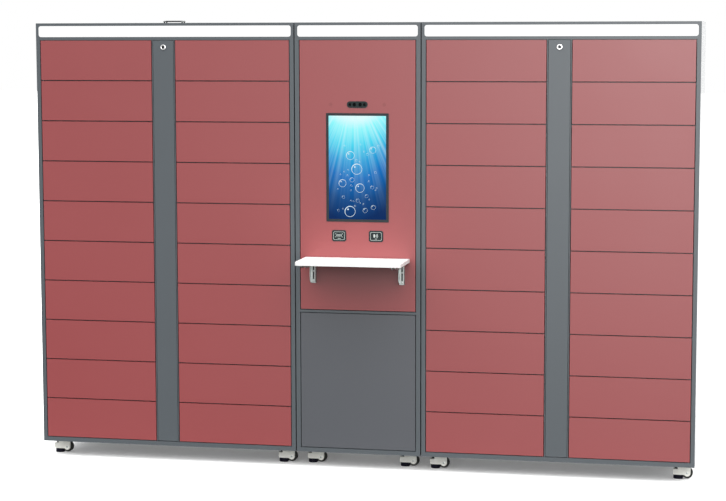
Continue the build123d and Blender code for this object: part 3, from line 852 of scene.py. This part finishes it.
# Power outlets in the compartments
door_rows, door_pitch = 10, 190 * mm
first_line = 21.5 * mm  # underside to the lower end of the rows of doors
column_offset = 145 * mm
outlet_size, outlet_corner = (84 * mm, 58 * mm), 4 * mm
outlet_depth = 11.5 * mm  # back of the cabinets to an outlet's face
outlet_lift = 1.5 * mm
well_offset, well_height = 20 * mm, 6 * mm
# the ports are flat dark patches: painted shade of their openings
port_size, port_corner, port_height = (13 * mm, 5 * mm), 0.8 * mm, -20 * mm
port_front, port_back = 1.65 * mm, 1.4 * mm  # both before the outlet's face


def outlet_faces(materials):
    """Two socket wells and two small charging ports in front of each outlet; the wells' floors and the ports
    are flat dark patches of painted shade.
    """
    columns = [x + side * column_offset for x in (left_x, right_x) for side in (-1, 1)]
    first_z = underside + first_line + door_pitch / 2
    plate, rims, well_shades = bmesh.new(), bmesh.new(), bmesh.new()
    add_prism(plate, rounded_rectangle(*outlet_size, outlet_corner), -outlet_lift, sunk)
    rim = [(15.5, -1.8), (17, -2.4), (17.6, -1.5), (17.6, -1.4), (15.5, -1.4), (15.5, -1.8)]
    # the wells' floors: flat dark discs, painted shade of the wells' depth
    floor = [(0, -1.6), (15.6, -1.6), (15.6, -1.4), (0, -1.4)]
    port = rounded_rectangle(*port_size, port_corner, 2)
    for u in (-well_offset, well_offset):
        middle = Vector((u, 0, well_height))
        add_lathe(rims, [(r * mm, d * mm) for r, d in rim], middle, 28)
        add_lathe(well_shades, [(r * mm, d * mm) for r, d in floor], middle, 28)
        add_prism(well_shades, port, -port_front, -port_back, Vector((u, 0, port_height)))
    face_y = back_y - outlet_depth
    heights = [first_z + door_pitch * row for row in range(door_rows)]
    places = [Vector((x, face_y, z)) for x in columns for z in heights]
    for name, bm, finish in (
        ("outlet_plate", plate, "outlet"),
        ("outlet_rims", rims, "outlet"),
        ("outlet_well_shades", well_shades, "plastic"),
    ):
        copies(name, mesh_of(finished(name, bm, materials[finish], None)), places)


# Finishes of the model's own nodes


def dress_nodes(materials):
    """Gives each node of the model its finish; the small doors, which aren't named here, are red."""
    finishes = {
        "left_carcass": "frame",
        "centre_carcass": "frame",
        "right_carcass": "frame",
        "left_strip": "frame",
        "right_strip": "frame",
        "lower_door": "lower",
        "terminal_door": "red",
        "touch_screen": "bezel",
        "reader_modules": "bezel",
        "shelf_brackets": "zinc",
        "shelf_arms": "zinc",
        "shelf_board": "board",
        "header_lights": "light",
        "door_locks": "plastic",
        "power_outlets": "outlet",
        "roof_cap": "cap",
        "left_strip_lock": "plug",
        "right_strip_lock": "plug",
    }
    for name, node in nodes.items():
        finish = materials[finishes.get(name, "red")]
        node.data.materials.clear()
        node.data.materials.append(finish)


# Studio
dome_low, dome_rise = 0.81, 2.88  # radiance at the horizon, and how much more above
gloss_front, gloss_back = 0.6, 1.15  # the room that gloss sees
gloss_turn = 0.4  # share of a direction that points back, where the room is brightest
floor_half = 60
floor_bounce, floor_under, floor_fill = 0.04, 0.6, 0.15
floor_turn = (-0.15, 0.05)  # from the cabinets' front: where the floor's bounce changes
screen_place, screen_aim = (2.3, -12.0, 2.9), (1.0, 0.0, 1.2)  # soft screen that gives the sheen
screen_size, screen_power = 5.0, 1000.0


def seen_by(nodes, links, name):
    """Output that is 1 for rays of one kind, from the camera, or gloss and clear glass."""
    path = nodes.new("ShaderNodeLightPath")
    if name == "camera":
        return path.outputs["Is Camera Ray"]
    either = nodes.new("ShaderNodeMath")
    either.operation = "MAXIMUM"
    links.new(path.outputs["Is Glossy Ray"], either.inputs[0])
    links.new(path.outputs["Is Transmission Ray"], either.inputs[1])
    return either.outputs["Value"]


def blended(nodes, links, factor, one, other):
    """Mix of two values: each is a number or an output."""
    mix = nodes.new("ShaderNodeMix")
    for socket, value in zip((mix.inputs[0], mix.inputs[2], mix.inputs[3]), (factor, one, other)):
        if isinstance(value, (int, float)):
            socket.default_value = value
        else:
            links.new(value, socket)
    return mix.outputs[0]


def studio_floor():
    """White to the eye; it throws light back from under the object, and hardly any before it."""
    bm = bmesh.new()
    for x, y in ((-1, -1), (1, -1), (1, 1), (-1, 1)):
        bm.verts.new((x * floor_half, y * floor_half, 0))
    bm.faces.new(bm.verts)
    shader = Shader("studio_floor")
    shader.set(Roughness=0.9, Specular_IOR_Level=0.0)
    nodes, links = shader.tree.nodes, shader.tree.links
    parts = shader.node("ShaderNodeSeparateXYZ")
    links.new(shader.place, parts.inputs["Vector"])
    under = shader.node("ShaderNodeMapRange", interpolation_type="SMOOTHSTEP")
    under.inputs["From Min"].default_value = front_y + floor_turn[0]
    under.inputs["From Max"].default_value = front_y + floor_turn[1]
    under.inputs["To Min"].default_value = floor_bounce
    under.inputs["To Max"].default_value = floor_under
    links.new(parts.outputs["Y"], under.inputs["Value"])
    shade = under.outputs["Result"]
    shade = blended(nodes, links, seen_by(nodes, links, "camera"), shade, linear(floor_white)[0])
    grey = nodes.new("ShaderNodeCombineColor")
    for socket in grey.inputs:
        links.new(shade, socket)
    links.new(grey.outputs["Color"], shader.surface.inputs["Base Color"])
    shader.surface.inputs["Emission Color"].default_value = (1, 1, 1, 1)
    fill = blended(nodes, links, seen_by(nodes, links, "camera"), 0.0, floor_fill)
    links.new(fill, shader.surface.inputs["Emission Strength"])
    finished("studio_floor", bm, shader.material, None, smooth=False)


def studio_world():
    """Soft light from the whole sky, a duller room for gloss, and plain white to the camera."""
    world = bpy.data.worlds.new("studio")
    world.use_nodes = True
    tree = world.node_tree
    nodes, links = tree.nodes, tree.links
    direction = nodes.new("ShaderNodeTexCoord").outputs["Generated"]
    parts = nodes.new("ShaderNodeSeparateXYZ")
    links.new(direction, parts.inputs["Vector"])
    dome = nodes.new("ShaderNodeMapRange")
    dome.inputs["To Min"].default_value = dome_low
    dome.inputs["To Max"].default_value = dome_low + dome_rise
    links.new(parts.outputs["Z"], dome.inputs["Value"])
    room = nodes.new("ShaderNodeMapRange")
    room.inputs["From Min"].default_value = -gloss_turn
    room.inputs["From Max"].default_value = gloss_turn
    room.inputs["To Min"].default_value = gloss_front
    room.inputs["To Max"].default_value = gloss_back
    links.new(parts.outputs["Y"], room.inputs["Value"])
    strength = blended(
        nodes, links, seen_by(nodes, links, "gloss"), dome.outputs["Result"], room.outputs["Result"]
    )
    strength = blended(nodes, links, seen_by(nodes, links, "camera"), strength, 1.0)
    background = nodes["Background"]
    background.inputs["Color"].default_value = (1, 1, 1, 1)
    links.new(strength, background.inputs["Strength"])
    bpy.context.scene.world = world


def sheen_screen():
    """Large soft screen that only shows as sheen on the paint."""
    data = bpy.data.lights.new("sheen_screen", "AREA")
    data.size = screen_size
    data.energy = screen_power
    lamp = bpy.data.objects.new("sheen_screen", data)
    lamp.location = screen_place
    way = Vector(screen_aim) - Vector(screen_place)
    lamp.rotation_euler = way.to_track_quat("-Z", "Y").to_euler()
    lamp.visible_diffuse = False
    lamp.visible_camera = False
    bpy.context.scene.collection.objects.link(lamp)


def main():
    scene = bpy.context.scene
    scene.view_settings.view_transform = "Standard"
    make_camera()
    materials = {
        "red": powder_coat("door_red", door_red),
        "frame": powder_coat("frame_grey", frame_grey, gloss=0.5, coat=0.8),
        "lower": powder_coat("lower_grey", lower_grey),
        "zinc": metal("zinc_plate", zinc, (0.3, 0.5)),
        "chrome": metal("chrome", chrome_pale, (0.34, 0.42), 0.02, (1, 1, 1)),
        "plug": metal("lock_plug", plug_grey_and_keyway_shade, (0.35, 0.45), 0.05, (1, 1, 1)),
        "cap": plastic("cap_grey", cap_grey, 0.5),
        "board": plastic("board_white", board_white, 0.35, 0.01 * mm),
        "cream": plastic("caster_cream", caster_cream, 0.45),
        "foot": plastic("foot_black", foot_black, 0.6, gloss=0.1),
        "tyre": plastic("tyre_black", tyre_black, 0.6, gloss=0.2),
        "plastic": plastic("black_plastic_and_shade", black_plastic_and_shade, 0.5, gloss=0.2),
        "bezel": plastic("bezel_grey", bezel_grey, 0.4, 0.01 * mm, gloss=0.2),
        "outlet": plastic("outlet_white", outlet_white, 0.35),
        "glass": plastic("glass_black", glass_black, 0.12, 0.0, gloss=0.3),
        "lens": plastic("lens_black", lens_black, 0.1, 0.0, gloss=0.1),
        # painted shade of the sound holes
        "hole": plastic("hole_dark", hole_dark, 0.8),
        "marks": plastic("mark_grey", mark_grey, 0.5, 0.0),
        "bubble": glowing("bubble_white", bubble_white, 0.9),
        "light": glowing("light_diffuser", diffuser_white, 1.0),
    }
    dress_nodes(materials)
    touch_screen(materials)
    camera_bar(materials)
    reader_labels(materials)
    sound_holes(materials)
    key_locks(materials)
    roof_details(materials)
    bracket_details(materials)
    casters(materials)
    outlet_faces(materials)
    studio_floor()
    studio_world()
    sheen_screen()


main()
